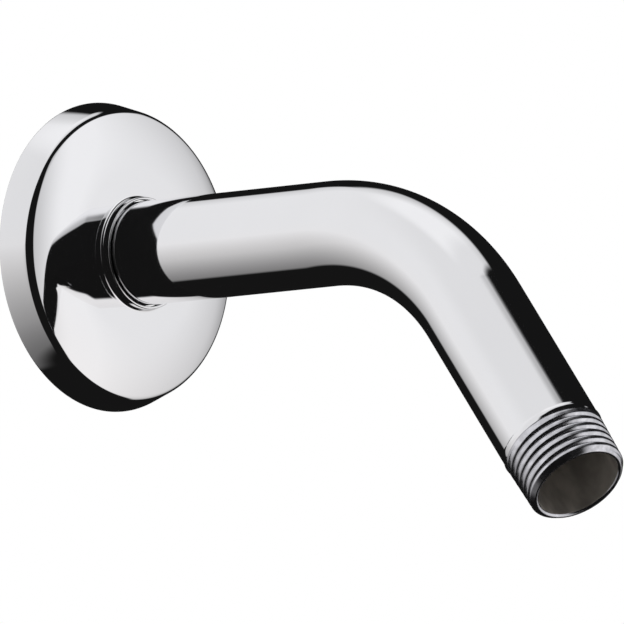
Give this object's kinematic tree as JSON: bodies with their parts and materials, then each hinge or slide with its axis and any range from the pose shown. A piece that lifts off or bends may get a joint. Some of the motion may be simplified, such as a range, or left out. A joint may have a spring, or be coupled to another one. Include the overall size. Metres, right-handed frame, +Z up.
{
  "type": "shower arm with flange",
  "caption": "Bent chrome tube that carries a shower head off a wall, threaded at both ends, with a round domed flange that slides along its straight leg.",
  "frame": {"origin": "on the straight leg's axis, in the wall plane that the flange's back rim lies in", "axes": "+X out of the wall along the straight leg, +Z up, and the arm bends down in the XZ plane"},
  "size_m": [0.1598, 0.0636, 0.0948],
  "materials": {
    "plated_tube": "polished",
    "plated_flange": "polished"
  },
  "bodies": {
    "arm": {"arm": "plated_tube"},
    "flange": {"flange": "plated_flange"}
  },
  "joints": [
    {"name": "flange_slide", "type": "slide", "parent": "arm", "child": "flange", "axis": [1, 0, 0], "range_m": [0, 0.045]}
  ]
}
